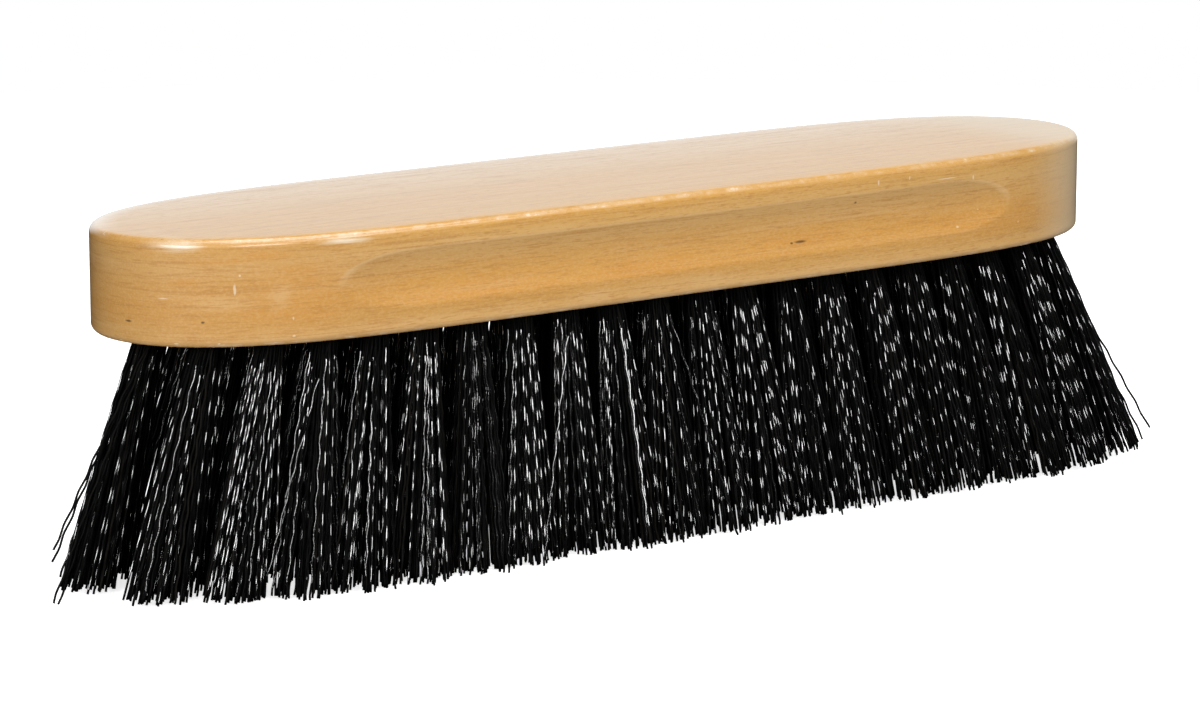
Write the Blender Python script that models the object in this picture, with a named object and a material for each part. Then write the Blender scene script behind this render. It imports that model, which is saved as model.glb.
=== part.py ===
"""A dandy brush: a one-piece varnished wooden back, drilled from below and filled with staple-set tufts.

The brush stands on its bristle tips. The origin lies under the middle of the back, level with the tips.
+X runs along the back, +Y across it and +Z up to the flat top. All sizes are in metres.
"""
import math

import bpy
import bmesh

MM = 0.001

# Wooden back
BACK_LENGTH = 229 * MM
BACK_WIDTH = 56 * MM
BACK_THICKNESS = 20 * MM
OUTLINE_POWER = 5.8
OUTLINE_POINTS = 96
TOP_EDGE_RADIUS = 1.6 * MM
UNDER_EDGE_RADIUS = 1.4 * MM
EDGE_STEPS = 3

# Finger grooves, one milled along each side of the back
GROOVE_LENGTH = 160 * MM
GROOVE_HEIGHT = 10.5 * MM
GROOVE_DEPTH = 1.2 * MM
GROOVE_BELOW_TOP = 9.6 * MM
GROOVE_RUN_OUT = 16 * MM
GROOVE_STEPS = 4

# Tufts, in four staggered rows along the back and one tuft at each end
NEAR_ROW_TUFT_COUNT = 20
INNER_ROW_SHARE = 0.42
TUFT_INSET = 7 * MM
END_TUFT_INSET = 9 * MM
TUFT_HOLE_RADIUS = 2.4 * MM
TUFT_HOLE_DEPTH = 12 * MM
TUFT_HOLE_SIDES = 6
SEAT_GAP = 0.3 * MM

# Slices of the backing, each fused to its tufts and let into a pocket in the underside
SLICE_THICKNESS = 2 * MM
RIM_WIDTH = 4 * MM
FUSED_SHARE = 0.35
COLUMNS_PER_SLICE = 2

# Bristles, each strand standing for a bundle of crimped filaments
TRIM_LENGTH = 48 * MM
TRIM_CUT = 0.5 * MM
STRANDS_IN_TUFT = 4
STRAND_SIDES = 3
STRAND_ROOT_RADIUS = 0.9 * MM
STRAND_TIP_RADIUS = 1.8 * MM
TUFT_ROOT_SPREAD = 1.4 * MM
TUFT_TIP_SPREAD = 3.4 * MM
END_LEAN = 16.5 * MM
END_LEAN_POWER = 3
SIDE_LEAN = 5 * MM
BEND_POWER = 1.2
BEND_SHARE = 0.5
TUFT_TURN = math.radians(50)

CUT_OVERRUN = 1 * MM
SMOOTH_ANGLE = math.radians(35)

# Colours, red, green, blue and alpha
WOOD_COLOUR = (0.60, 0.34, 0.13, 1.0)
BRISTLE_COLOUR = (0.012, 0.012, 0.013, 1.0)
WOOD_ROUGHNESS = 0.32
BRISTLE_ROUGHNESS = 0.38

END_COLUMN = NEAR_ROW_TUFT_COUNT
COLUMN_STEP = (BACK_LENGTH - 2 * END_TUFT_INSET) / (2 * END_COLUMN)
POCKET_DEPTH = SLICE_THICKNESS + SEAT_GAP
FUSED_DEPTH = SLICE_THICKNESS * FUSED_SHARE
FREE_LENGTH = TRIM_LENGTH + TRIM_CUT
LEVEL_SHARES = (0.0, BEND_SHARE, TRIM_LENGTH / FREE_LENGTH)
WOOD_FACES = 0
BRISTLE_FACES = 1


def clear_scene():
    for found in list(bpy.data.objects):
        bpy.data.objects.remove(found)


def make_material(name, colour, roughness):
    material = bpy.data.materials.new(name)
    material.use_nodes = True
    shader = material.node_tree.nodes["Principled BSDF"]
    shader.inputs["Base Color"].default_value = colour
    shader.inputs["Roughness"].default_value = roughness
    shader.inputs["Metallic"].default_value = 0.0
    return material


def make_object(name, form, materials, parent, location):
    """A smooth-shaded object made from a bmesh, which it uses up."""
    mesh = bpy.data.meshes.new(name)
    form.to_mesh(mesh)
    form.free()
    mesh.shade_smooth()
    mesh.set_sharp_from_angle(angle=SMOOTH_ANGLE)
    for material in materials:
        mesh.materials.append(material)
    made = bpy.data.objects.new(name, mesh)
    made.parent = parent
    made.location = location
    bpy.context.scene.collection.objects.link(made)
    return made


def combine(target, tool, operation):
    """Joins the tool object to the target or cuts it out, and hides the tool."""
    tool.hide_render = True
    tool.display_type = "WIRE"
    modifier = target.modifiers.new(operation.lower(), "BOOLEAN")
    modifier.operation = operation
    modifier.solver = "EXACT"
    modifier.object = tool


def loft(form, rings, face_kind):
    """Closes a skin over rings of points that run counter-clockwise from the lowest ring up."""
    layers = [[form.verts.new(point) for point in ring] for ring in rings]
    for lower, upper in zip(layers, layers[1:]):
        for i in range(len(lower)):
            j = (i + 1) % len(lower)
            form.faces.new((lower[i], lower[j], upper[j], upper[i])).material_index = face_kind
    form.faces.new(layers[0][::-1]).material_index = face_kind
    form.faces.new(layers[-1]).material_index = face_kind


def circle_points(centre, radius, count, turn):
    """Places spread evenly round a centre."""
    angles = [turn + 2 * math.pi * i / count for i in range(count)]
    return [(centre[0] + radius * math.cos(a), centre[1] + radius * math.sin(a)) for a in angles]


def half_width_at(x, inset):
    """Half the back's width at a place along it, for an outline drawn inside the rim by an inset."""
    reach = BACK_LENGTH / 2 - inset
    share = min(1.0, abs(x) / reach)
    return (BACK_WIDTH / 2 - inset) * math.sqrt(1 - share ** OUTLINE_POWER)


def outline_x(angle, inset):
    """Place along the back of the outline's point at an angle, from 0 at +X to pi at -X."""
    cosine = math.cos(angle)
    reach = BACK_LENGTH / 2 - inset
    return math.copysign(reach * abs(cosine) ** (2 / OUTLINE_POWER), cosine)


def outline_angle(x, inset):
    """Angle at which the outline passes a place along the back: the reverse of outline_x."""
    share = min(1.0, abs(x) / (BACK_LENGTH / 2 - inset))
    return math.acos(math.copysign(share ** (OUTLINE_POWER / 2), x))


def back_ring(inset, height, groove_share=None):
    """One level outline of the back. In a groove the sides draw in, less towards its ends."""
    ring = []
    for i in range(OUTLINE_POINTS):
        angle = 2 * math.pi * (i + 0.5) / OUTLINE_POINTS
        x = outline_x(angle, inset)
        y = (BACK_WIDTH / 2 - inset) * math.sin(angle)
        if groove_share is not None:
            y -= math.copysign(groove_depth(x, groove_share), y)
        ring.append((x, y, height))
    return ring


def groove_depth(x, height_share):
    """How deep the finger groove is, at a share of its half height above or below its middle."""
    past_straight = max(0, abs(x) - (GROOVE_LENGTH / 2 - GROOVE_RUN_OUT))
    end_share = past_straight / GROOVE_RUN_OUT
    return GROOVE_DEPTH * max(0.0, 1 - height_share ** 2 - end_share ** 2)


def back_rings():
    """The back's outlines from the pocket's ceiling, out over the rim and up the sides to the top."""
    rings = [back_ring(RIM_WIDTH, POCKET_DEPTH), back_ring(RIM_WIDTH, 0)]
    quarter = [math.pi / 2 * i / EDGE_STEPS for i in range(EDGE_STEPS + 1)]
    for a in quarter:
        inset = UNDER_EDGE_RADIUS * (1 - math.sin(a))
        rings.append(back_ring(inset, UNDER_EDGE_RADIUS * (1 - math.cos(a))))
    groove_middle = BACK_THICKNESS - GROOVE_BELOW_TOP
    for i in range(GROOVE_STEPS + 1):
        height_share = 2 * i / GROOVE_STEPS - 1
        height = groove_middle + height_share * GROOVE_HEIGHT / 2
        rings.append(back_ring(0, height, height_share))
    for a in quarter:
        inset = TOP_EDGE_RADIUS * (1 - math.cos(a))
        rings.append(back_ring(inset, BACK_THICKNESS - TOP_EDGE_RADIUS * (1 - math.sin(a))))
    return rings


def column_x(column):
    return column * COLUMN_STEP


def tuft_places(column):
    """Where one column's tufts leave the back, with each tuft's share of the way out to the rim."""
    x = column_x(column)
    if abs(column) == END_COLUMN:
        row_shares = (0.0,)
    elif (END_COLUMN - column) % 2:
        row_shares = (-1.0, INNER_ROW_SHARE)
    else:
        row_shares = (-INNER_ROW_SHARE, 1.0)
    half_width = half_width_at(x, TUFT_INSET)
    return [(x, row_share * half_width, row_share) for row_share in row_shares]


def hole_ring(x, y, radius, height):
    ring = circle_points((x, y), radius, TUFT_HOLE_SIDES, 0)
    return [(px, py, height) for px, py in ring]


def make_back(parent, wood):
    """The wooden back, with its blind holes drilled from the pocket's ceiling."""
    place = (0, 0, TRIM_LENGTH)
    form = bmesh.new()
    loft(form, back_rings(), WOOD_FACES)
    back = make_object("wooden_block", form, [wood], parent, place)
    holes = bmesh.new()
    for column in range(-END_COLUMN, END_COLUMN + 1):
        for x, y, _ in tuft_places(column):
            mouth = hole_ring(x, y, TUFT_HOLE_RADIUS, POCKET_DEPTH - CUT_OVERRUN)
            end = hole_ring(x, y, TUFT_HOLE_RADIUS, TUFT_HOLE_DEPTH)
            loft(holes, (mouth, end), WOOD_FACES)
    drill = make_object("tuft_hole_drill", holes, [wood], parent, place)
    combine(back, drill, "DIFFERENCE")


def slice_edge(start, end):
    """Points of a slice's upper edge between two cross cuts, closer together round the back's ends."""
    inset = RIM_WIDTH + SEAT_GAP
    first, last = outline_angle(start, inset), outline_angle(end, inset)
    steps = max(1, math.ceil((first - last) * OUTLINE_POINTS / (2 * math.pi)))
    middle = [outline_x(first + (last - first) * i / steps, inset) for i in range(1, steps)]
    return [(x, half_width_at(x, inset)) for x in [start] + middle + [end]]


def add_slice(form, start, end):
    """A slab of the backing between two cross cuts, flush with the rim's underside."""
    upper = slice_edge(start, end)
    lower = [(x, -y) for x, y in upper if y > 0]
    outline = lower + upper[::-1]
    rings = [[(x, y, height) for x, y in outline] for height in (0, SLICE_THICKNESS)]
    loft(form, rings, WOOD_FACES)


def add_root(form, x, y):
    """A tuft's folded root with its anchor, a plug that stands in the blind hole."""
    radius = TUFT_HOLE_RADIUS - SEAT_GAP
    foot = hole_ring(x, y, radius, SLICE_THICKNESS - FUSED_DEPTH)
    head = hole_ring(x, y, radius, TUFT_HOLE_DEPTH - SEAT_GAP)
    loft(form, (foot, head), BRISTLE_FACES)


def tuft_tip(x, y):
    """Where a tuft's uncut end lies: outer tufts lean out, most at the back's ends."""
    end_share = x / column_x(END_COLUMN)
    side_share = y / (BACK_WIDTH / 2 - TUFT_INSET)
    lean = math.copysign(END_LEAN * abs(end_share) ** END_LEAN_POWER, x)
    return x + lean, y + SIDE_LEAN * side_share


def strand_axes(column, x, y, row_share):
    """Root and uncut end of each strand's axis. Strands keep their order all the way, so none cross."""
    turn = TUFT_TURN * (column + row_share)
    roots = circle_points((x, y), TUFT_ROOT_SPREAD, STRANDS_IN_TUFT, turn)
    tips = circle_points(tuft_tip(x, y), TUFT_TIP_SPREAD, STRANDS_IN_TUFT, turn)
    return list(zip(roots, tips))


def axis_point(root, tip, share):
    """Point of a strand's axis at a share of its free length, bending outwards a little."""
    bend = share ** BEND_POWER
    return [a + (b - a) * bend for a, b in zip(root, tip)]


def strand_radius(share):
    return STRAND_ROOT_RADIUS + (STRAND_TIP_RADIUS - STRAND_ROOT_RADIUS) * share


def add_strand(form, root, tip, turn):
    """A tapered strand out of the slice. It would run past the trim plane, and is cut flat there."""
    levels = [(root, strand_radius(0), FUSED_DEPTH)]
    for share in LEVEL_SHARES[1:]:
        levels.append((axis_point(root, tip, share), strand_radius(share), -FREE_LENGTH * share))
    rings = []
    for centre, radius, height in reversed(levels):
        ring = circle_points(centre, radius, STRAND_SIDES, turn)
        rings.append([(px, py, height) for px, py in ring])
    loft(form, rings, BRISTLE_FACES)


def make_tuft_row(number, columns, start, end, parent, materials):
    """One cross row: a slice of the backing, its tufts' strands below and their roots above."""
    place = (0, 0, TRIM_LENGTH)
    slab = bmesh.new()
    add_slice(slab, start, end)
    row = make_object(f"tuft_row_{number:02d}", slab, materials, parent, place)
    tufts = bmesh.new()
    axes = []
    for column in columns:
        for x, y, row_share in tuft_places(column):
            add_root(tufts, x, y)
            for root, tip in strand_axes(column, x, y, row_share):
                add_strand(tufts, root, tip, TUFT_TURN * len(axes))
                axes.append((root, tip))
    bundle = make_object(f"tufts_{number:02d}", tufts, materials, parent, place)
    combine(row, bundle, "UNION")
    return axes


def cut_before(column):
    """Where the cross cut between a column of tufts and the one before it lies."""
    return (column_x(column - 1) + column_x(column)) / 2


def make_tuft_rows(parent, materials):
    """All cross rows, with an equal number of columns of tufts in each, and the end column in the last."""
    pocket_end = BACK_LENGTH / 2 - RIM_WIDTH - SEAT_GAP
    firsts = range(-END_COLUMN, END_COLUMN, COLUMNS_PER_SLICE)
    axes = []
    for number, first in enumerate(firsts, start=1):
        following = first + COLUMNS_PER_SLICE
        columns = list(range(first, following))
        start = cut_before(first) + SEAT_GAP / 2
        end = cut_before(following) - SEAT_GAP / 2
        if number == 1:
            start = -pocket_end
        if number == len(firsts):
            columns.append(END_COLUMN)
            end = pocket_end
        axes += make_tuft_row(number, columns, start, end, parent, materials)
    return axes


def least_strand_gap(axes):
    """The least gap between two strands, measured between their round envelopes at each level."""
    least = math.inf
    for share in LEVEL_SHARES:
        points = [axis_point(root, tip, share) for root, tip in axes]
        for i, point in enumerate(points):
            for other in points[i + 1:]:
                least = min(least, math.dist(point, other) - 2 * strand_radius(share))
    return least


def main():
    clear_scene()
    wood = make_material("varnished_wood", WOOD_COLOUR, WOOD_ROUGHNESS)
    bristle = make_material("bristle", BRISTLE_COLOUR, BRISTLE_ROUGHNESS)
    brush = bpy.data.objects.new("dandy_brush", None)
    bpy.context.scene.collection.objects.link(brush)
    make_back(brush, wood)
    axes = make_tuft_rows(brush, [wood, bristle])
    print(f"{len(axes)} strands, least gap {least_strand_gap(axes) / MM:.2f} mm")


main()
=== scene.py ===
"""The looks of the dandy brush: its varnished back, its crimped bristles, the studio and the camera."""
import math

import bmesh
import bpy
import numpy as np
from mathutils import Matrix, Vector


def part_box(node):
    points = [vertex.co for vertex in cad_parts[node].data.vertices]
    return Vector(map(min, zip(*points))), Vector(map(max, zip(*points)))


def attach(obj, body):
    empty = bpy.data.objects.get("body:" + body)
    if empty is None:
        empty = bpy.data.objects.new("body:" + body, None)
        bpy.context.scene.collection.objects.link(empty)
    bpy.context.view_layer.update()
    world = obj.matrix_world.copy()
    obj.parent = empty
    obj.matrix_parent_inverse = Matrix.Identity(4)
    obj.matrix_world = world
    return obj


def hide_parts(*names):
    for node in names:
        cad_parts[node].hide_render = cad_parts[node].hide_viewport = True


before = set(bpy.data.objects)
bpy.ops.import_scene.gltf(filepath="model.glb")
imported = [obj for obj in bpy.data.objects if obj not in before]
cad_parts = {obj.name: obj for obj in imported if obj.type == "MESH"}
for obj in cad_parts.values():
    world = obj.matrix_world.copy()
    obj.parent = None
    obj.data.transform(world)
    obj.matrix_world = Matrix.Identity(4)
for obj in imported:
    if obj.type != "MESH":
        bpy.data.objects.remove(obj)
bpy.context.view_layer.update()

MM = 0.001
TURN = 2 * math.pi
SEED = 11

# Back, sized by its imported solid
BLOCK_LOW, BLOCK_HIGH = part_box("wooden_block")
BACK_LENGTH = BLOCK_HIGH.x - BLOCK_LOW.x
BACK_WIDTH = BLOCK_HIGH.y - BLOCK_LOW.y
BACK_THICKNESS = BLOCK_HIGH.z - BLOCK_LOW.z
UNDERSIDE = BLOCK_LOW.z
OUTLINE_POWER = 5.8
OUTLINE_POINTS = 600
OUTLINE_SAMPLES = 6000
OUTLINE_EASE_POWER = 3
TOP_EDGE_RADIUS = 1.6 * MM
UNDER_EDGE_RADIUS = 1.4 * MM
EDGE_STEPS = 8
SIDE_STEPS = 44
FACE_STEPS = 8
FACE_REACH_SHARE = 0.94
SHARP_ANGLE = math.radians(40)

# Finger grooves
GROOVE_LENGTH = 160 * MM
GROOVE_HEIGHT = 10.5 * MM
GROOVE_DEPTH = 1.2 * MM
GROOVE_BELOW_TOP = 9.6 * MM
GROOVE_RUN_OUT = 16 * MM

# Tufts and their holes
NEAR_ROW_TUFT_COUNT = 20
INNER_ROW_SHARE = 0.42
COLUMNS_PER_SLICE = 2
TUFT_INSET = 7 * MM
END_TUFT_INSET = 9 * MM
HOLE_RADIUS = 2.4 * MM
HOLE_SHOWN_DEPTH = 4 * MM
HOLE_SIDES = 24
MIDDLE_LEAN = 2 * MM
RIGHT_END_LEAN = 11.5 * MM
LEFT_END_LEAN = 14.5 * MM
RIGHT_LEAN_POWER = 0.92
LEFT_LEAN_POWER = 1.3
SIDE_LEAN = 5 * MM
RIGHT_SWEEP = -8 * MM
LEFT_SWEEP = 3 * MM
SWEEP_POWER = 3
END_COLUMN = NEAR_ROW_TUFT_COUNT
COLUMN_STEP = (BACK_LENGTH - 2 * END_TUFT_INSET) / (2 * END_COLUMN)

# Filaments
FILAMENT_RADIUS = 0.255 * MM
FILAMENT_SIDES = 4
FILAMENT_COUNT = 72
RINGS_PER_CRIMP = 7
FILAMENT_SUNK = 3 * MM
# Shares of filaments that take the dull copy all along, painted shade for filaments the lamps miss
DULL_SHARE = 0.35
LEFT_DULL_SHARE = 0.43
END_DULL_SHARE = 0.75
OUTER_COLUMN = 14
OUTER_DULL_SHARE = 0.5
# Lengths given the dull copy: near the root, painted shade of the back's shadow, and near the tip
SHADED_ROOT_LENGTHS = (2.5 * MM, 6 * MM)
DULL_TIP_LENGTHS = (0.5 * MM, 4 * MM)
TUFT_ROOT_RADIUS = 2.3 * MM
TUFT_TIP_REACH = (7.4 * MM, 5.2 * MM)
END_REACH_SHARE = 0.9
TUFT_TIP_DRIFT = 0.7 * MM
CLUMP_COUNT = 11
CLUMP_REACH_SHARE = 0.85
CLUMP_SHARE = 0.2
FLARE_SHARE = 0.35
TIP_SCATTER = 0.8 * MM
BOW_POWER = 0.92
CRIMP_LENGTH = 5.5 * MM
CRIMP_HEIGHT = 0.26 * MM
CRIMP_SHARPNESS = 0.96
CRIMP_LENGTH_SPREAD_SHARE = 0.012
CRIMP_PHASE_SPREAD = 2.4
CRIMP_PHASE_SPREAD_SHARES = (0.7, 1)
CRIMP_PHASE_DRIFT = 1.7
CRIMP_TURN = math.radians(58)
CRIMP_TURN_SPREAD = math.radians(9)
LATERAL_SHARE = 0.2
LEFT_LATERAL_SHARE = 0.5
LEFT_LATERAL_COLUMNS = range(-16, 0)
LATERAL_TURN = math.radians(75)
LATERAL_HEIGHT_SHARE = 0.62
CRIMP_START = 4.5 * MM
UNCUT_SPREAD = 0.4 * MM
LONGEST_LIFT = 2.4 * MM
GOLDEN_SHARE = (math.sqrt(5) - 1) / 2
RING_COUNT = math.ceil((UNDERSIDE + FILAMENT_SUNK) / CRIMP_LENGTH * RINGS_PER_CRIMP)

# Strays: the tuft's column and row share, then the tip's shift from the tuft's root and its height, in mm
STRAYS = (
    (-20, 0.0, -23.2, -3.9, 11.3), (-20, 0.0, -22.3, -2.0, 8.5), (-20, 0.0, -24.2, -5.6, 1.7),
    (-20, 0.0, -22.9, -5.2, 1.2), (20, 0.0, 23.5, -16.0, 3.1), (20, 0.0, 21.0, -17.0, 1.0),
    (20, 0.0, 19.1, -17.5, 0.2), (19, -1.0, 17.9, -11.5, 1.0), (-15, -1.0, -14.5, -1.8, 4.0),
    (-1, -1.0, 9.1, -15.2, 1.5), (-5, -1.0, -10.4, -8.0, 1.0), (-3, -1.0, -2.4, -16.4, 3.4),
    (15, -1.0, 8.4, -9.3, 8.0))

# Wood colours, and marks on the near side: place and reach along the back and above the underside, in mm
ORANGE = (0.64, 0.300, 0.055)
PALE = (0.72, 0.460, 0.210)
DEEP = (0.50, 0.230, 0.050)
TAN = (0.57, 0.290, 0.075)
# Painted sheen on the +X end
END_SHEEN = (0.76, 0.610, 0.410)
# Pale colour of worn chips and scratches, and of the painted highlights near the top edge
WEAR_AND_GLARE = (0.92, 0.820, 0.640)
# Painted highlight on the finger groove's lips
GROOVE_LIP_HIGHLIGHT = (0.80, 0.560, 0.290)
# Painted reflection along the under edge
UNDER_EDGE_REFLECTION = (0.86, 0.680, 0.440)
# Painted white sheen along the far rim of the top
RIM_SHEEN = (1.0, 0.920, 0.820)
SPECK = (0.10, 0.045, 0.015)
ORANGE_STREAKS = (
    (-94, 16.8, 9, 1.6), (-101, 16.0, 10, 0.7), (-107, 12.1, 3, 1.4), (-88, 13.5, 8, 2.4),
    (-86, 5.5, 9, 2.6), (-88, 9.0, 14, 9.0),
    (-50, 6.8, 22, 3.2), (-11, 6.4, 18, 3.0), (25, 8.0, 15, 2.4), (72, 6.9, 24, 3.0))
PALE_CLOUDS = (
    (-92, 9.1, 3, 4.0), (-24, 2.4, 6, 2.0), (-101, 8.0, 9, 2.0), (2, 2.6, 16, 1.4))
# Painted highlights just under the near top edge
HIGHLIGHT_PATCHES = ((-107.5, 18.9, 5, 1.5), (-78, 18.6, 7, 1.4))
SCRATCHES = (
    (-99.4, 10.8, 0.3, 1.3), (-109.8, 9.1, 0.7, 0.14), (-98.6, 13.3, 0.25, 0.3), (-89.2, 5.0, 0.2, 0.4),
    (-89.2, 1.7, 0.4, 0.25), (-108.1, 0.9, 0.4, 0.2), (-102.1, 0.9, 0.3, 0.2), (44.6, 17.4, 0.25, 0.7),
    (52.6, 17.6, 0.2, 0.5), (62.5, 16.5, 3.4, 0.14), (69.6, 16.0, 0.25, 0.6), (65.8, 6.3, 0.4, 0.3),
    (71.8, 9.1, 0.2, 0.2), (82.8, 5.4, 0.25, 0.2))
DARK_SPECKS = (
    (-104.4, 4.9, 0.4, 0.3), (-113.3, 4.4, 0.3, 0.3), (39.3, 13.9, 0.4, 0.3), (25.6, 7.5, 2.0, 0.35),
    (23.4, 7.4, 0.5, 0.3))

# Looks of the marks: the share of their reach that is solid, and the share of full cover
STREAK_LOOK = (0.2, 0.68)
CLOUD_LOOK = (0.1, 0.45)
# Look of the painted highlight patches
HIGHLIGHT_PATCH_LOOK = (0.1, 0.75)
SCRATCH_LOOK = (0.5, 0.45)
SPECK_LOOK = (0.3, 0.85)
STREAK_WANDER = (5 * MM, 0.0, 1.2 * MM)
SCRATCH_WANDER = (0.5 * MM, 0.0, 0.3 * MM)

# Tones of the side by their share of its height, and of the top by their share of its width. The side's
# lighter band high in the groove is painted light against the groove's shade, and the top's paling towards
# the far rim is a painted sheen
SIDE_TONES_AND_LIGHT = (
    (0.00, (0.70, 0.420, 0.160)),
    (0.16, (0.615, 0.328, 0.080)),
    (0.30, (0.63, 0.308, 0.058)),
    (0.45, (0.64, 0.322, 0.067)),
    (0.58, (0.64, 0.342, 0.088)),
    (0.72, (0.66, 0.385, 0.130)),
    (0.82, (0.66, 0.380, 0.115)),
    (0.92, (0.67, 0.355, 0.082)))
TOP_TONES_AND_SHEEN = (
    (0.05, (0.73, 0.380, 0.060)),
    (0.50, (0.74, 0.430, 0.155)),
    (0.97, (0.84, 0.660, 0.470)))

# Noises: cells to the metre along each axis, detail and roughness
BROAD_GRAIN = ((16.0, 420.0, 420.0), 4.0, 0.6)
FINE_GRAIN = ((70.0, 2100.0, 2100.0), 4.0, 0.7)
PORES = ((420.0, 3400.0, 3400.0), 1.0, 0.5)
SPECKLE = ((1500.0, 2600.0, 2600.0), 1.0, 0.5)
LAYER_LINES = ((5.0, 230.0, 230.0), 2.0, 0.5)
LAYER_DRIFT = ((11.0, 60.0, 60.0), 3.0, 0.5)
MARK_DRIFT = ((90.0, 90.0, 400.0), 3.0, 0.5)
CHIPPING = ((330.0, 420.0, 420.0), 3.0, 0.7)
VARNISH_RIPPLE = ((120.0, 380.0, 380.0), 2.0, 0.5)
DUST = ((700.0, 700.0, 300.0), 2.0, 0.5)
NOISE_MIDDLE = 0.5
LAYER_WANDER = 4 * MM

# Tints of the wood: the value where each starts, the one where it is full, and its share of full cover
TAN_TINT = (-55 * MM, -82 * MM, 0.4)
PALE_GRAIN_TINT = (0.45, 0.75, 0.4)
DARK_GRAIN_TINT = (0.52, 0.28, 0.74)
LINE_LEVEL = 0.52
LINE_TINT = (0.012, 0.0, 0.5)
SPECKLE_TINT = (0.35, 0.75, 0.30)
PORE_TINT = (0.56, 0.74, 0.55)
# Painted sheen growing towards the +X end
END_SHEEN_TINT = (84 * MM, 106 * MM, 0.70)
# Share of the painted highlight on the groove's lips
LIP_HIGHLIGHT_SHARE = 0.35
WORN_SHARE = 0.5
# Share of the painted highlight line on the near top edge
NEAR_EDGE_HIGHLIGHT_SHARE = 0.22

# Bands of the wood, from start to full. Facing is 1 on the top and 0 on the side
LEVEL_FACING = (0.3, 0.9)
TOP_FACING = (0.75, 0.98)
# Facing where the far rim's painted sheen shows
RIM_SHEEN_FACING = (0.1, 0.7)
UPRIGHT_FACING = (0.4, 0.1)
EDGE_RISE = (0.40, 0.60)
EDGE_FALL = (0.97, 0.85)
LIP_RISE = (0.72, 0.92)
LIP_FALL = (1.12, 1.0)
LIP_HEIGHTS = (-0.3, 0.5)
RIM_REACH = (0.72, 1.0)
FAR_ACROSS = (-3 * MM, 14 * MM)
NEAR_ACROSS = (0.0, -20 * MM)
CHIPS = (0.61, 0.70)
EDGE_LINE_GAPS = (0.4, 0.6)
UNDER_EDGE_HEIGHTS = (UNDERSIDE + 1.3 * MM, UNDERSIDE + 0.5 * MM)
PATCH_GRAIN = (0.35, 0.6)
SIDE_GRAIN_SHARE = 0.05

# Surfaces. A filament's look is its specular level, its coat and its roughness
WOOD_ROUGHNESS = 0.42
SCUFF_ROUGHNESS = 0.3
VARNISH = {"Coat Weight": 0.85, "Coat Roughness": 0.14, "Coat IOR": 1.5}
VARNISH_BUMP = {"Strength": 0.12, "Distance": 0.4 * MM}
GRAIN_BUMP = {"Strength": 0.06, "Distance": 0.2 * MM}
BROAD_HEIGHT_SHARE = 0.4
WORN_DEPTH_RATIO = 2.0
FILAMENT_TONES = (
    (0.0, (0.001, 0.001, 0.001)),
    (0.8, (0.002, 0.002, 0.002)),
    (1.0, (0.007, 0.006, 0.005)))
FILAMENT_GLOSS = {"IOR": 2.0, "Coat Roughness": 0.09, "Coat IOR": 1.7}
GLOSSY_LOOK = (1.0, 1.0, 0.09)
# The dull look paints shade: filaments and roots that stay black
SHADED_LOOK = (0.03, 0.0, 0.50)
DUST_ROUGHNESS = 0.12

# Sockets of a colour mix, by number, since three kinds of mix share their names
MIX_FACTOR = 0
MIX_A = 6
MIX_B = 7
MIX_RESULT = 2

# Studio
FLOOR_RADIUS = 600 * MM
FLOOR_SIDES = 96
FLOOR_GLOW = 0.75
WHITE = (1.0, 1.0, 1.0)
FILL = (0.25, 0.25, 0.25)
FLOOR_BOUNCE = (0.52, 0.52, 0.52)
DARK = (0.02, 0.02, 0.02)
WALL = (0.82, 0.82, 0.82)
WALL_AZIMUTH = 145
WALL_ELEVATION = 12
WALL_EDGE = 0.76
WALL_CORE = 0.93

# Lamps: azimuth and elevation in degrees, width, height and radiance
LAMP_DISTANCE = 1.3
LAMPS = {
    "left_lamp": (-60, 20, 0.70, 0.36, 7.6),
    "low_left_lamp": (-62, 6, 0.60, 0.12, 6.0),
    "front_lamp": (-12, 20, 0.50, 0.36, 7.8),
    "edge_lamp": (22, 40, 0.80, 0.27, 4.0),
    "top_lamp": (40, 78, 0.90, 0.90, 4.2)}

# Camera of the photograph, its angles in degrees
CAMERA_PLACE = (-529.8 * MM, -730.3 * MM, 216.1 * MM)
CAMERA_AZIMUTH = -35.808
CAMERA_ELEVATION = 11.542
CAMERA_ROLL = 0.036
CAMERA_LENS = 139.78
CAMERA_CLIP = (0.05, 50.0)


def outline_point(angle, inset):
    """Point of the outline drawn inside the rim by an inset, at an angle from 0 at +X."""
    cosine, sine = math.cos(angle), math.sin(angle)
    x = math.copysign((BACK_LENGTH / 2 - inset) * abs(cosine) ** (2 / OUTLINE_POWER), cosine)
    return x, (BACK_WIDTH / 2 - inset) * sine


def half_width_at(x, inset):
    """Half the width of the outline drawn inside the rim by an inset, at a place along the back."""
    share = min(1.0, abs(x) / (BACK_LENGTH / 2 - inset))
    return (BACK_WIDTH / 2 - inset) * math.sqrt(1 - share ** OUTLINE_POWER)


def even_angles():
    """Angles whose points lie evenly spaced along the outline."""
    eased = np.linspace(0, 1, OUTLINE_SAMPLES // 4)
    quarter = TURN / 4 * (1 - (1 - eased) ** OUTLINE_EASE_POWER)
    angles = np.concatenate([quarter, TURN / 2 - quarter[::-1], TURN / 2 + quarter, TURN - quarter[::-1]])
    points = np.array([outline_point(a, 0) for a in angles])
    steps = np.hypot(*np.diff(points, axis=0).T)
    along = np.concatenate([[0], np.cumsum(steps)])
    wanted = np.linspace(0, along[-1], OUTLINE_POINTS, endpoint=False)
    return np.interp(wanted, along, angles)


def groove_depth(x, height):
    """How deep the finger groove is at a place on the side, height above the underside."""
    height_share = (height - (BACK_THICKNESS - GROOVE_BELOW_TOP)) / (GROOVE_HEIGHT / 2)
    end_share = max(0.0, abs(x) - (GROOVE_LENGTH / 2 - GROOVE_RUN_OUT)) / GROOVE_RUN_OUT
    return GROOVE_DEPTH * max(0.0, 1 - height_share ** 2 - end_share ** 2)


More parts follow.
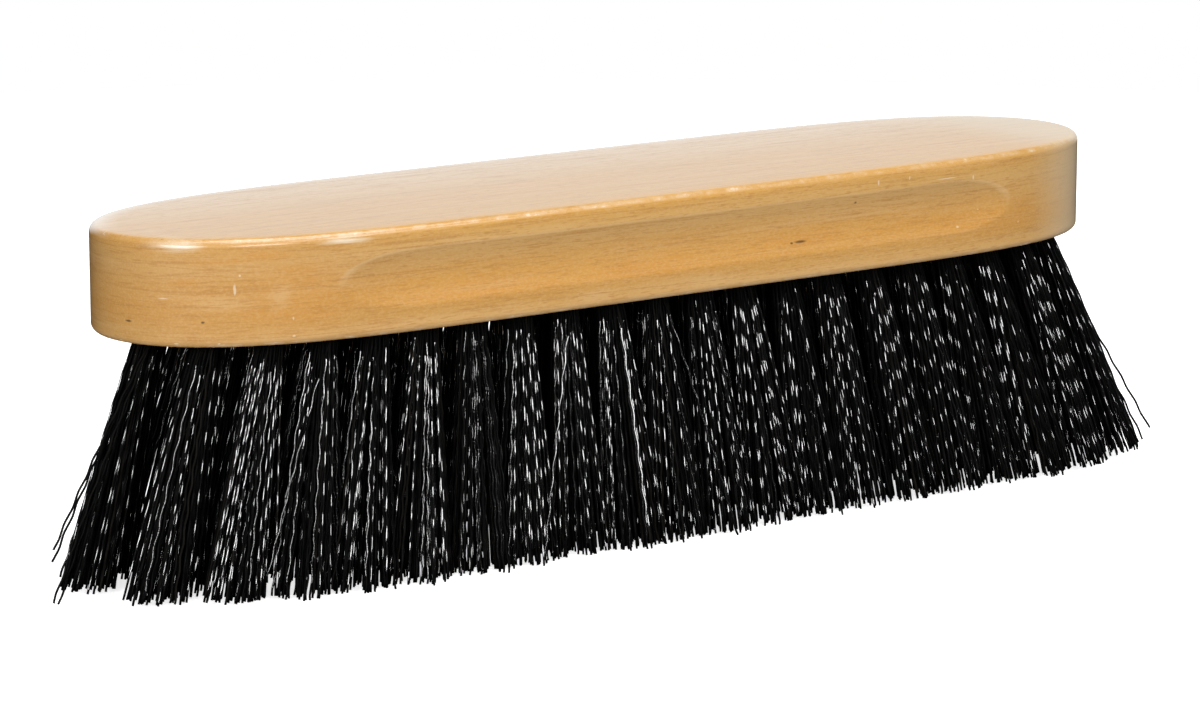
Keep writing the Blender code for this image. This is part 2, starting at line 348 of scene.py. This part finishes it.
def back_profile():
    """Inset and height of each ring, from the middle of the underside round to the middle of the top."""
    quarter = [TURN / 4 * i / EDGE_STEPS for i in range(EDGE_STEPS + 1)]
    deepest = BACK_WIDTH / 2 * FACE_REACH_SHARE
    shares = [1 - i / FACE_STEPS for i in range(FACE_STEPS)]
    rings = [(UNDER_EDGE_RADIUS + (deepest - UNDER_EDGE_RADIUS) * s, 0) for s in shares]
    low, high = UNDER_EDGE_RADIUS, TOP_EDGE_RADIUS
    rings += [(low * (1 - math.sin(a)), low * (1 - math.cos(a))) for a in quarter]
    straight = BACK_THICKNESS - low - high
    rings += [(0, low + straight * i / SIDE_STEPS) for i in range(1, SIDE_STEPS)]
    under_top = BACK_THICKNESS - high
    rings += [(high * (1 - math.cos(a)), under_top + high * math.sin(a)) for a in quarter]
    rings += [(TOP_EDGE_RADIUS + (deepest - TOP_EDGE_RADIUS) * s, BACK_THICKNESS) for s in shares[::-1]]
    return rings


def make_back_form():
    """The back as a fine skin of rings, its grooves drawn into the sides."""
    angles = even_angles()
    form = bmesh.new()
    layers = []
    for inset, height in back_profile():
        layer = []
        for angle in angles:
            x, y = outline_point(angle, inset)
            y -= math.copysign(groove_depth(x, height), y)
            layer.append(form.verts.new((x, y, UNDERSIDE + height)))
        layers.append(layer)
    for lower, upper in zip(layers, layers[1:]):
        for i in range(OUTLINE_POINTS):
            j = (i + 1) % OUTLINE_POINTS
            form.faces.new((lower[i], lower[j], upper[j], upper[i]))
    form.faces.new(layers[0][::-1])
    form.faces.new(layers[-1])
    return form


def column_x(column):
    return column * COLUMN_STEP


def tuft_places(column):
    """Where one column's tufts leave the back, with each tuft's share of the way out to the rim."""
    x = column_x(column)
    if abs(column) == END_COLUMN:
        row_shares = (0.0,)
    elif (END_COLUMN - column) % 2:
        row_shares = (-1.0, INNER_ROW_SHARE)
    else:
        row_shares = (-INNER_ROW_SHARE, 1.0)
    half_width = half_width_at(x, TUFT_INSET)
    return [(x, row_share * half_width, row_share) for row_share in row_shares]


def make_object(name, mesh):
    made = bpy.data.objects.new(name, mesh)
    bpy.context.scene.collection.objects.link(made)
    return made


def make_back(material):
    """The wooden back with the mouths of its tuft holes."""
    form = make_back_form()
    mesh = bpy.data.meshes.new("varnished_back")
    form.to_mesh(mesh)
    form.free()
    back = make_object("varnished_back", mesh)
    drill = make_object("hole_drill", make_drill_mesh())
    cut = back.modifiers.new("holes", "BOOLEAN")
    cut.operation = "DIFFERENCE"
    cut.solver = "EXACT"
    cut.object = drill
    dressed = bpy.data.meshes.new_from_object(back.evaluated_get(bpy.context.evaluated_depsgraph_get()))
    back.modifiers.clear()
    back.data = dressed
    bpy.data.objects.remove(drill)
    dressed.shade_smooth()
    dressed.set_sharp_from_angle(angle=SHARP_ANGLE)
    dressed.materials.append(material)
    return back


def make_drill_mesh():
    form = bmesh.new()
    for column in range(-END_COLUMN, END_COLUMN + 1):
        for x, y, _ in tuft_places(column):
            place = Matrix.Translation((x, y, UNDERSIDE))
            bmesh.ops.create_cone(
                form, cap_ends=True, segments=HOLE_SIDES, radius1=HOLE_RADIUS, radius2=HOLE_RADIUS,
                depth=2 * HOLE_SHOWN_DEPTH, matrix=place)
    mesh = bpy.data.meshes.new("hole_drill")
    form.to_mesh(mesh)
    form.free()
    return mesh


def tuft_tip(x, y):
    """Where a tuft's middle reaches the trim plane: outer tufts lean out, most at the back's ends."""
    end_share = x / column_x(END_COLUMN)
    side_share = y / (BACK_WIDTH / 2 - TUFT_INSET)
    if x < 0:
        lean = -LEFT_END_LEAN * abs(end_share) ** LEFT_LEAN_POWER
        sweep = LEFT_SWEEP * abs(end_share) ** SWEEP_POWER
    else:
        lean = RIGHT_END_LEAN * end_share ** RIGHT_LEAN_POWER
        sweep = RIGHT_SWEEP * end_share ** SWEEP_POWER
    return x + MIDDLE_LEAN + lean, y + SIDE_LEAN * side_share + sweep


def disc_points(count, turn):
    """Places spread evenly over a unit disc, in a sunflower's order."""
    number = np.arange(count) + 0.5
    angle = turn + number * TURN * GOLDEN_SHARE
    return (np.sqrt(number / count) * np.array([np.cos(angle), np.sin(angle)])).T


def crimp_sideways(column, row_share, draw):
    """Which filaments crimp along the back. More do in the near row's -X half."""
    if abs(column) == END_COLUMN:
        return np.zeros(FILAMENT_COUNT, dtype=bool)
    share = LEFT_LATERAL_SHARE if column in LEFT_LATERAL_COLUMNS and row_share == -1 else LATERAL_SHARE
    return draw.uniform(0, 1, FILAMENT_COUNT) < share


def strays_of(column, row_share):
    return [tip for at, share, *tip in STRAYS if (at, share) == (column, row_share)]


def clumped(tips, middle, reach, draw):
    """Tips drawn part of the way towards the nearest of a few places, as used bristles cling together."""
    centres = middle + disc_points(CLUMP_COUNT, draw.uniform(0, TURN)) * reach * CLUMP_REACH_SHARE
    nearest = np.argmin(np.linalg.norm(tips[:, None] - centres[None], axis=2), axis=1)
    return tips + (centres[nearest] - tips) * CLUMP_SHARE


def tuft_ends(column, x, y, strays, disc, draw):
    """The root and the tip of each filament of a tuft, and the tip's lift above the trim plane."""
    count = FILAMENT_COUNT
    roots = np.array([x, y]) + disc * TUFT_ROOT_RADIUS
    middle = np.array(tuft_tip(x, y)) + draw.normal(0, TUFT_TIP_DRIFT, 2)
    reach = np.array(TUFT_TIP_REACH) * (END_REACH_SHARE if abs(column) == END_COLUMN else 1)
    tips = clumped(middle + disc * reach + draw.normal(0, TIP_SCATTER, (count, 2)), middle, reach, draw)
    flare = np.linalg.norm(tips - roots, axis=1)
    lift = np.minimum(np.abs(draw.normal(0, UNCUT_SPREAD, count)), LONGEST_LIFT)
    lift += FLARE_SHARE * (UNDERSIDE - np.sqrt(UNDERSIDE ** 2 - flare ** 2))
    for number, (shift_x, shift_y, height) in enumerate(strays):
        # A path that ends above the trim plane stops at this share of its whole shift
        reached_share = (1 - height * MM / UNDERSIDE) ** BOW_POWER
        roots[number] = (x, y - TUFT_ROOT_RADIUS)
        tips[number] = (x + shift_x * MM / reached_share, y + shift_y * MM / reached_share)
        lift[number] = height * MM
    return roots, tips, lift


def crimp_swing(column, row_share, stray_count, height, disc, draw):
    """How far the crimps swing each filament along X and along Y, at each of its heights."""
    count = FILAMENT_COUNT
    wave = CRIMP_LENGTH * (1 + draw.normal(0, CRIMP_LENGTH_SPREAD_SHARE, count))
    phase = draw.uniform(0, TURN)
    phase += draw.normal(0, CRIMP_PHASE_SPREAD, count) * draw.uniform(*CRIMP_PHASE_SPREAD_SHARES)
    phase += disc @ draw.normal(0, CRIMP_PHASE_DRIFT, 2)
    sideways = crimp_sideways(column, row_share, draw)
    sideways[:stray_count] = True
    turn = CRIMP_TURN + draw.normal(0, CRIMP_TURN_SPREAD, count) + LATERAL_TURN * sideways
    crimp = CRIMP_HEIGHT * np.where(sideways, LATERAL_HEIGHT_SHARE, 1)
    swing = np.arcsin(CRIMP_SHARPNESS * np.sin(TURN * height / wave[:, None] + phase[:, None]))
    swing *= crimp[:, None] / math.asin(CRIMP_SHARPNESS) * np.clip((UNDERSIDE - height) / CRIMP_START, 0, 1)
    return swing * np.cos(turn)[:, None], swing * np.sin(turn)[:, None]


def tuft_paths(column, x, y, row_share, strays, draw):
    """Points along each filament of a tuft, as an array of filaments by rings by three."""
    disc = disc_points(FILAMENT_COUNT, draw.uniform(0, TURN))
    roots, tips, lift = tuft_ends(column, x, y, strays, disc, draw)
    start = UNDERSIDE + FILAMENT_SUNK
    height = start - (start - lift)[:, None] * np.linspace(0, 1, RING_COUNT)
    free = np.clip((UNDERSIDE - height) / UNDERSIDE, 0, 1) ** BOW_POWER
    flat = roots[:, None, :] + (tips - roots)[:, None, :] * free[:, :, None]
    swing_x, swing_y = crimp_swing(column, row_share, len(strays), height, disc, draw)
    return np.stack([flat[:, :, 0] + swing_x, flat[:, :, 1] + swing_y, height], axis=2)


def tube_points(paths, radius):
    """Corners of the tubes round the paths, square to each filament's run from root to tip."""
    run = paths[:, -1] - paths[:, 0]
    run /= np.linalg.norm(run, axis=1)[:, None]
    across = np.cross(run, [0.0, 1.0, 0.0])
    across /= np.linalg.norm(across, axis=1)[:, None]
    other = np.cross(run, across)
    angle = TURN * np.arange(FILAMENT_SIDES) / FILAMENT_SIDES
    cosine, sine = np.cos(angle)[None, :, None], np.sin(angle)[None, :, None]
    ring = cosine * across[:, None, :] + sine * other[:, None, :]
    return paths[:, :, None, :] + radius * ring[:, None, :, :]


def tube_faces(count, rings, first):
    """Side quads and end caps of four-sided tubes, as corner numbers from the first point on."""
    sides = FILAMENT_SIDES
    start = first + np.arange(count)[:, None, None] * rings * sides
    ring = np.arange(rings - 1)[None, :, None] * sides
    side = np.arange(sides)[None, None, :]
    here = start + ring + side
    beside = start + ring + (side + 1) % sides
    quads = np.stack([here, beside, beside + sides, here + sides], axis=-1).reshape(-1, 4)
    foot = (start[:, 0] + np.arange(sides)[::-1]).reshape(-1, sides)
    head = (start[:, 0] + (rings - 1) * sides + np.arange(sides)).reshape(-1, sides)
    return np.concatenate([quads, foot, head])


def mesh_from_arrays(name, points, quads, tone, kinds):
    """A mesh of quads, with a tone for each point and the number of a material for each face."""
    mesh = bpy.data.meshes.new(name)
    mesh.vertices.add(len(points))
    mesh.vertices.foreach_set("co", points.astype(np.float32).ravel())
    mesh.loops.add(quads.size)
    mesh.loops.foreach_set("vertex_index", quads.astype(np.int32).ravel())
    mesh.polygons.add(len(quads))
    mesh.polygons.foreach_set("loop_start", np.arange(0, quads.size, quads.shape[1], dtype=np.int32))
    mesh.update(calc_edges=True)
    mesh.validate()
    layer = mesh.attributes.new("tone", "FLOAT", "POINT")
    layer.data.foreach_set("value", tone.astype(np.float32))
    mesh.polygons.foreach_set("material_index", kinds.astype(np.int32))
    mesh.shade_smooth()
    return mesh


def dull_share(column):
    """Share of a tuft's filaments that take the dull copy all along, painted shade for filaments the lamps
    miss.
    """
    if abs(column) == END_COLUMN:
        return END_DULL_SHARE
    if abs(column) > OUTER_COLUMN:
        return OUTER_DULL_SHARE
    return LEFT_DULL_SHARE if column < 0 else DULL_SHARE


def dull_parts(paths, draw):
    """Which lengths between rings lie near a filament's root or its tip. Near the root the dull copy paints
    the back's shadow; near the tip it dulls the tip.
    """
    root_end = UNDERSIDE - draw.uniform(*SHADED_ROOT_LENGTHS, len(paths))
    tip_end = paths[:, -1, 2] + draw.uniform(*DULL_TIP_LENGTHS, len(paths))
    middle = (paths[:, :-1, 2] + paths[:, 1:, 2]) / 2
    return (middle > root_end[:, None]) | (middle < tip_end[:, None])


def make_bristle_row(number, columns, materials, draw):
    """The filaments of one cross row of tufts."""
    points, quads, tones, kinds = [], [], [], []
    first = 0
    for column in columns:
        for x, y, row_share in tuft_places(column):
            strays = strays_of(column, row_share)
            paths = tuft_paths(column, x, y, row_share, strays, draw)
            count, rings = paths.shape[:2]
            dull = draw.uniform(0, 1, count) < dull_share(column)
            # Strays past the back's ends stay black, those before the tufts flash
            dull[:len(strays)] = abs(column) == END_COLUMN
            tube = tube_points(paths, FILAMENT_RADIUS)
            points.append(tube.reshape(-1, 3))
            quads.append(tube_faces(count, rings, first))
            tones.append(np.repeat(draw.uniform(0, 1, count), rings * FILAMENT_SIDES))
            # The dull copy paints shade on whole filaments and on the lengths near the roots, and dulls the
            # tips
            shaded = np.repeat(dull[:, None] | dull_parts(paths, draw), FILAMENT_SIDES)
            kinds += [shaded, np.ones(2 * count)]
            first += count * rings * FILAMENT_SIDES
    name = f"bristles_{number:02d}"
    mesh = mesh_from_arrays(
        name, np.concatenate(points), np.concatenate(quads), np.concatenate(tones), np.concatenate(kinds))
    for material in materials:
        mesh.materials.append(material)
    return make_object(name, mesh)


def make_bristles(materials):
    """One piece for each cross row of tufts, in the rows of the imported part."""
    draw = np.random.default_rng(SEED)
    rows = []
    firsts = range(-END_COLUMN, END_COLUMN, COLUMNS_PER_SLICE)
    for number, first in enumerate(firsts, start=1):
        columns = list(range(first, first + COLUMNS_PER_SLICE))
        if number == len(firsts):
            columns.append(END_COLUMN)
        rows.append(make_bristle_row(number, columns, materials, draw))
    return rows


def new_material(name):
    material = bpy.data.materials.new(name)
    material.use_nodes = True
    material.node_tree.nodes.clear()
    return material, material.node_tree


def feed(tree, socket, value):
    """Link a socket to another node's, or set its value."""
    if isinstance(value, bpy.types.NodeSocket):
        tree.links.new(value, socket)
    else:
        socket.default_value = value


def add(tree, kind, inputs=None, **settings):
    """A node with its settings, and its inputs linked or set."""
    made = tree.nodes.new(kind)
    for name, value in settings.items():
        setattr(made, name, value)
    for name, value in (inputs or {}).items():
        feed(tree, made.inputs[name], value)
    return made


def math_node(tree, operation, *values):
    return add(tree, "ShaderNodeMath", dict(enumerate(values)), operation=operation).outputs[0]


def times(tree, a, b):
    return math_node(tree, "MULTIPLY", a, b)


def minus(tree, a, b):
    return math_node(tree, "SUBTRACT", a, b)


def over(tree, a, b):
    return math_node(tree, "DIVIDE", a, b)


def size_of(tree, value):
    return math_node(tree, "ABSOLUTE", value)


def vector_math(tree, operation, a, b):
    return add(tree, "ShaderNodeVectorMath", {0: a, 1: b}, operation=operation).outputs[0]


def ramp(tree, factor, stops):
    """A colour ramp, from stops of a place and a colour."""
    made = add(tree, "ShaderNodeValToRGB", {"Fac": factor})
    elements = made.color_ramp.elements
    while len(elements) < len(stops):
        elements.new(1.0)
    for element, (place, colour) in zip(elements, stops):
        element.position = place
        element.color = (*colour, 1.0)
    return made.outputs["Color"]


def noise_at(tree, place, noise, output="Fac"):
    """Noise over a place, from its cells to the metre along each axis, its detail and its roughness."""
    stretch, detail, roughness = noise
    cells = add(tree, "ShaderNodeMapping", {"Vector": place, "Scale": stretch}).outputs["Vector"]
    return add(tree, "ShaderNodeTexNoise", {
        "Vector": cells, "Scale": 1.0, "Detail": detail, "Roughness": roughness}).outputs[output]


def mix(tree, factor, a, b):
    """Two colours mixed, each a socket or a plain colour."""
    made = add(tree, "ShaderNodeMix", data_type="RGBA")
    feed(tree, made.inputs[MIX_FACTOR], factor)
    for index, colour in ((MIX_A, a), (MIX_B, b)):
        linked = isinstance(colour, bpy.types.NodeSocket)
        feed(tree, made.inputs[index], colour if linked else (*colour, 1.0))
    return made.outputs[MIX_RESULT]


def band(tree, value, start, end):
    """0 before the start, 1 past the end and smooth between them."""
    made = add(tree, "ShaderNodeMapRange", {
        "Value": value, "From Min": start, "From Max": end}, interpolation_type="SMOOTHSTEP")
    return made.outputs["Result"]


def paint(tree, colour, mask, share, tone):
    """The colour with a tone over it where the mask is 1, to a share of full cover."""
    return mix(tree, times(tree, mask, share), colour, tone)


def tint(tree, colour, value, look, tone):
    """The colour with a tone over it where a value is past the start of a look, full at its end."""
    start, end, share = look
    return paint(tree, colour, band(tree, value, start, end), share, tone)


def blots(tree, place, marks, core):
    """Marks on the near side, from their places and reaches along the back and above the underside."""
    total = 0.0
    for x, height, reach_x, reach_height in marks:
        centre = (x * MM, 0.0, UNDERSIDE + height * MM)
        reach = (reach_x * MM, 1.0, reach_height * MM)
        scaled = vector_math(tree, "DIVIDE", vector_math(tree, "SUBTRACT", place, centre), reach)
        length = add(tree, "ShaderNodeVectorMath", {0: scaled}, operation="LENGTH").outputs["Value"]
        total = math_node(tree, "MAXIMUM", total, band(tree, length, 1.0, core))
    return total


def paint_blots(tree, colour, place, marks, look, tone):
    core, share = look
    return paint(tree, colour, blots(tree, place, marks, core), share, tone)


def near_side_place(tree, place, axes, wander):
    """Near-side places, flattened along Y and shifted a bit by noise. The far side's are out of reach."""
    drift = noise_at(tree, place, MARK_DRIFT, "Color")
    centred = vector_math(tree, "SUBTRACT", drift, (NOISE_MIDDLE, NOISE_MIDDLE, NOISE_MIDDLE))
    shift = vector_math(tree, "MULTIPLY", centred, wander)
    flat = vector_math(tree, "MULTIPLY", vector_math(tree, "ADD", place, shift), (1.0, 0.0, 1.0))
    far = math_node(tree, "GREATER_THAN", axes["Y"], 0.0)
    away = add(tree, "ShaderNodeCombineXYZ", {"Y": far}).outputs[0]
    return vector_math(tree, "ADD", flat, away)


def grain_place(tree, axes, facing):
    """Coordinates for the grain. Round the ends it runs on along the side."""
    level = band(tree, size_of(tree, facing), *LEVEL_FACING)
    share = math_node(tree, "MULTIPLY_ADD", level, 1 - SIDE_GRAIN_SHARE, SIDE_GRAIN_SHARE)
    return add(tree, "ShaderNodeCombineXYZ", {
        "X": axes["X"], "Y": times(tree, axes["Y"], share), "Z": axes["Z"]}).outputs[0]


def side_colour(tree, place, axes):
    """The side's tone by height, with growth layers that drift along the back. Its lighter band high in the
    groove is painted light against the groove's shade.
    """
    drift = minus(tree, noise_at(tree, place, LAYER_DRIFT), NOISE_MIDDLE)
    level = math_node(tree, "MULTIPLY_ADD", drift, LAYER_WANDER, axes["Z"])
    return ramp(tree, over(tree, minus(tree, level, UNDERSIDE), BACK_THICKNESS), SIDE_TONES_AND_LIGHT)


def ground_colour(tree, place, side, axes, facing):
    """The wood's broad tones: the side's layers and streaks, and the top's from near rim to far, paling to
    the far rim as a painted sheen.
    """
    colour = tint(tree, side_colour(tree, place, axes), axes["X"], TAN_TINT, TAN)
    colour = paint_blots(tree, colour, side, ORANGE_STREAKS, STREAK_LOOK, ORANGE)
    colour = paint_blots(tree, colour, side, PALE_CLOUDS, CLOUD_LOOK, PALE)
    across = math_node(tree, "MULTIPLY_ADD", axes["Y"], 1 / BACK_WIDTH, 0.5)
    return mix(tree, band(tree, facing, *TOP_FACING), colour, ramp(tree, across, TOP_TONES_AND_SHEEN))


def with_grain(tree, colour, place, grain, broad, fine):
    """Pale and dark grain, layer lines, speckle and pores over a colour."""
    lines = noise_at(tree, grain, LAYER_LINES)
    colour = tint(tree, colour, broad, PALE_GRAIN_TINT, PALE)
    colour = tint(tree, colour, fine, DARK_GRAIN_TINT, DEEP)
    colour = tint(tree, colour, size_of(tree, minus(tree, lines, LINE_LEVEL)), LINE_TINT, DEEP)
    colour = tint(tree, colour, noise_at(tree, place, SPECKLE), SPECKLE_TINT, PALE)
    return tint(tree, colour, noise_at(tree, grain, PORES), PORE_TINT, DEEP)


def far_rim(tree, axes):
    """How near a place is to the rim on the far side, 0 to 1."""
    along = size_of(tree, over(tree, axes["X"], BACK_LENGTH / 2))
    across = over(tree, axes["Y"], BACK_WIDTH / 2)
    reach = math_node(tree, "MULTIPLY_ADD", across, across, math_node(tree, "POWER", along, OUTLINE_POWER))
    return times(tree, band(tree, reach, *RIM_REACH), band(tree, axes["Y"], *FAR_ACROSS))


def groove_rim(tree, axes):
    """The upper lip of the finger groove and the lips of its ends, 0 to 1, where a highlight is painted."""
    above = minus(tree, axes["Z"], UNDERSIDE + BACK_THICKNESS - GROOVE_BELOW_TOP)
    height_share = over(tree, above, GROOVE_HEIGHT / 2)
    past = minus(tree, size_of(tree, axes["X"]), GROOVE_LENGTH / 2 - GROOVE_RUN_OUT)
    end_share = over(tree, math_node(tree, "MAXIMUM", past, 0.0), GROOVE_RUN_OUT)
    reach = math_node(tree, "MULTIPLY_ADD", height_share, height_share, times(tree, end_share, end_share))
    lip = times(tree, band(tree, reach, *LIP_RISE), band(tree, reach, *LIP_FALL))
    return times(tree, lip, band(tree, height_share, *LIP_HEIGHTS))


def with_painted_light(tree, colour, axes, facing, upright):
    """Painted light: a white sheen on the far rim, a highlight on the groove's lip and a paler sheen on the
    +X end.
    """
    # Painted white sheen along the far rim
    rim_sheen = times(tree, far_rim(tree, axes), band(tree, facing, *RIM_SHEEN_FACING))
    colour = mix(tree, rim_sheen, colour, RIM_SHEEN)
    # Painted highlight on the groove's lips, on upright faces only
    lip = times(tree, groove_rim(tree, axes), times(tree, upright, LIP_HIGHLIGHT_SHARE))
    # Painted sheen on the +X end
    return tint(tree, mix(tree, lip, colour, GROOVE_LIP_HIGHLIGHT), axes["X"], END_SHEEN_TINT, END_SHEEN)


def with_wear_and_edge_light(tree, colour, axes, upright, edge, chipped, worn):
    """Worn chips all round the edges, then painted light: a reflection along the under edge and a thin
    highlight line along the near top edge.
    """
    colour = paint(tree, colour, worn, WORN_SHARE, WEAR_AND_GLARE)
    # Painted reflection along the under edge, broken into gaps
    low = times(tree, band(tree, axes["Z"], *UNDER_EDGE_HEIGHTS), upright)
    colour = mix(tree, times(tree, low, band(tree, chipped, *EDGE_LINE_GAPS)), colour, UNDER_EDGE_REFLECTION)
    # Painted highlight line along the near top edge
    rim = times(tree, edge, band(tree, axes["Y"], *NEAR_ACROSS))
    line = times(tree, rim, band(tree, chipped, *EDGE_LINE_GAPS))
    return paint(tree, colour, line, NEAR_EDGE_HIGHLIGHT_SHARE, WEAR_AND_GLARE)


def wood_shader(tree, colour, place, broad, fine, worn, scratches):
    """Wood under varnish: grain felt below, a rippled clear coat above, and rough where it is worn."""
    grain_height = math_node(tree, "MULTIPLY_ADD", broad, BROAD_HEIGHT_SHARE, fine)
    height = minus(tree, grain_height, times(tree, worn, WORN_DEPTH_RATIO))
    bump = add(tree, "ShaderNodeBump", {"Height": height, **GRAIN_BUMP})
    ripple = add(tree, "ShaderNodeBump", {"Height": noise_at(tree, place, VARNISH_RIPPLE), **VARNISH_BUMP})
    scuffed = math_node(tree, "ADD", worn, scratches)
    rough = math_node(tree, "MULTIPLY_ADD", scuffed, SCUFF_ROUGHNESS, WOOD_ROUGHNESS)
    return add(tree, "ShaderNodeBsdfPrincipled", {
        "Base Color": colour, "Roughness": rough, "Normal": bump.outputs["Normal"],
        **VARNISH, "Coat Normal": ripple.outputs["Normal"]})


def make_wood():
    """Clear-varnished pale wood, its grain along X, scuffed on its near side and worn along its edges.
    Highlights, sheens and an edge reflection are painted into its colour.
    """
    material, tree = new_material("varnished_wood")
    place = add(tree, "ShaderNodeTexCoord").outputs["Object"]
    normal = add(tree, "ShaderNodeNewGeometry").outputs["Normal"]
    axes = add(tree, "ShaderNodeSeparateXYZ", {"Vector": place}).outputs
    facing = add(tree, "ShaderNodeSeparateXYZ", {"Vector": normal}).outputs["Z"]
    tilt = size_of(tree, facing)
    upright = band(tree, tilt, *UPRIGHT_FACING)
    edge = times(tree, band(tree, tilt, *EDGE_RISE), band(tree, tilt, *EDGE_FALL))
    grain = grain_place(tree, axes, facing)
    broad = noise_at(tree, grain, BROAD_GRAIN)
    fine = noise_at(tree, grain, FINE_GRAIN)
    chipped = noise_at(tree, place, CHIPPING)
    worn = times(tree, edge, band(tree, chipped, *CHIPS))

    side = near_side_place(tree, place, axes, STREAK_WANDER)
    colour = ground_colour(tree, place, side, axes, facing)
    colour = with_grain(tree, colour, place, grain, broad, fine)
    colour = with_painted_light(tree, colour, axes, facing, upright)
    # Painted highlight patches just under the near top edge, broken by the grain
    core, share = HIGHLIGHT_PATCH_LOOK
    highlight_patches = times(tree, blots(tree, side, HIGHLIGHT_PATCHES, core), band(tree, fine, *PATCH_GRAIN))
    colour = paint(tree, colour, highlight_patches, share, WEAR_AND_GLARE)
    colour = with_wear_and_edge_light(tree, colour, axes, upright, edge, chipped, worn)
    crisp = near_side_place(tree, place, axes, SCRATCH_WANDER)
    core, share = SCRATCH_LOOK
    scratches = blots(tree, crisp, SCRATCHES, core)
    colour = paint(tree, colour, scratches, share, WEAR_AND_GLARE)
    colour = paint_blots(tree, colour, crisp, DARK_SPECKS, SPECK_LOOK, SPECK)
    shader = wood_shader(tree, colour, place, broad, fine, worn, scratches)
    add(tree, "ShaderNodeOutputMaterial", {"Surface": shader.outputs["BSDF"]})
    return material


def make_filament_material(name, level, coat, roughness):
    """Near-black filament, a little unlike from strand to strand and along each."""
    material, tree = new_material(name)
    tone = add(tree, "ShaderNodeAttribute", attribute_name="tone").outputs["Fac"]
    dust = noise_at(tree, add(tree, "ShaderNodeTexCoord").outputs["Object"], DUST)
    shader = add(tree, "ShaderNodeBsdfPrincipled", {
        "Base Color": ramp(tree, tone, FILAMENT_TONES),
        "Roughness": math_node(tree, "MULTIPLY_ADD", dust, DUST_ROUGHNESS, roughness),
        "Specular IOR Level": level, "Coat Weight": coat, **FILAMENT_GLOSS})
    add(tree, "ShaderNodeOutputMaterial", {"Surface": shader.outputs["BSDF"]})
    return material


def make_bristle_materials():
    """Glossy filaments that flash on their crimps, and a dull copy that stays black: painted shade."""
    clean = make_filament_material("black_filament", *GLOSSY_LOOK)
    shaded = make_filament_material("dull_black_filament", *SHADED_LOOK)
    return clean, shaded


def make_floor():
    """A small white floor, whose glow keeps the brush's shadow faint. Mirrored, it is dark."""
    form = bmesh.new()
    bmesh.ops.create_circle(form, cap_ends=True, segments=FLOOR_SIDES, radius=FLOOR_RADIUS)
    mesh = bpy.data.meshes.new("floor")
    form.to_mesh(mesh)
    form.free()
    floor = make_object("floor", mesh)
    material, tree = new_material("studio_floor")
    rays = add(tree, "ShaderNodeLightPath")
    colour = mix(tree, rays.outputs["Is Diffuse Ray"], DARK, FLOOR_BOUNCE)
    colour = mix(tree, rays.outputs["Is Camera Ray"], colour, WHITE)
    glow = times(tree, rays.outputs["Is Camera Ray"], FLOOR_GLOW)
    diffuse = add(tree, "ShaderNodeBsdfDiffuse", {"Color": colour})
    lift = add(tree, "ShaderNodeEmission", {"Color": (*WHITE, 1.0), "Strength": glow})
    both = add(tree, "ShaderNodeAddShader", {0: diffuse.outputs[0], 1: lift.outputs[0]})
    add(tree, "ShaderNodeOutputMaterial", {"Surface": both.outputs[0]})
    mesh.materials.append(material)


def make_world():
    """White for the camera and an even fill. Mirrored, it is dark but for a white wall behind the brush."""
    world = bpy.data.worlds.new("studio")
    bpy.context.scene.world = world
    world.use_nodes = True
    tree = world.node_tree
    tree.nodes.clear()
    direction = add(tree, "ShaderNodeTexCoord").outputs["Generated"]
    wall = direction_at(WALL_AZIMUTH, WALL_ELEVATION)
    nearness = add(tree, "ShaderNodeVectorMath", {0: direction, 1: wall}, operation="DOT_PRODUCT")
    mirrored = ramp(tree, nearness.outputs["Value"], ((WALL_EDGE, DARK), (WALL_CORE, WALL)))
    rays = add(tree, "ShaderNodeLightPath")
    colour = mix(tree, rays.outputs["Is Glossy Ray"], FILL, mirrored)
    colour = mix(tree, rays.outputs["Is Camera Ray"], colour, WHITE)
    background = add(tree, "ShaderNodeBackground", {"Color": colour, "Strength": 1.0})
    add(tree, "ShaderNodeOutputWorld", {"Surface": background.outputs[0]})


def direction_at(azimuth, elevation):
    """Unit vector from the brush towards an azimuth, 0 at -Y and rising to +X, and an elevation."""
    a, e = math.radians(azimuth), math.radians(elevation)
    return Vector((math.sin(a) * math.cos(e), -math.cos(a) * math.cos(e), math.sin(e)))


def make_lamp(name, azimuth, elevation, width, height, radiance):
    """A soft box that faces the brush, with the same brightness all over."""
    lamp = bpy.data.lights.new(name, "AREA")
    lamp.shape = "RECTANGLE"
    lamp.size, lamp.size_y = width, height
    lamp.energy = radiance * math.pi * width * height
    made = bpy.data.objects.new(name, lamp)
    away = direction_at(azimuth, elevation)
    made.location = Vector((0, 0, UNDERSIDE)) + away * LAMP_DISTANCE
    made.rotation_euler = away.to_track_quat("Z", "Y").to_euler()
    bpy.context.scene.collection.objects.link(made)


def make_camera():
    camera = bpy.data.cameras.new("camera")
    camera.lens = CAMERA_LENS
    camera.clip_start, camera.clip_end = CAMERA_CLIP
    made = bpy.data.objects.new("camera", camera)
    back = direction_at(CAMERA_AZIMUTH, CAMERA_ELEVATION)
    turned = back.to_track_quat("Z", "Y").to_matrix() @ Matrix.Rotation(math.radians(CAMERA_ROLL), 3, "Z")
    made.matrix_world = Matrix.Translation(CAMERA_PLACE) @ turned.to_4x4()
    bpy.context.scene.collection.objects.link(made)
    bpy.context.scene.camera = made


def main():
    back = make_back(make_wood())
    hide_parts("wooden_block")
    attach(back, "root")
    rows = make_bristles(make_bristle_materials())
    for number, row in enumerate(rows, start=1):
        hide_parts(f"tuft_row_{number:02d}")
        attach(row, "root")
    make_floor()
    make_world()
    for name, placed in LAMPS.items():
        make_lamp(name, *placed)
    make_camera()
    bpy.context.scene.view_settings.view_transform = "Standard"


main()
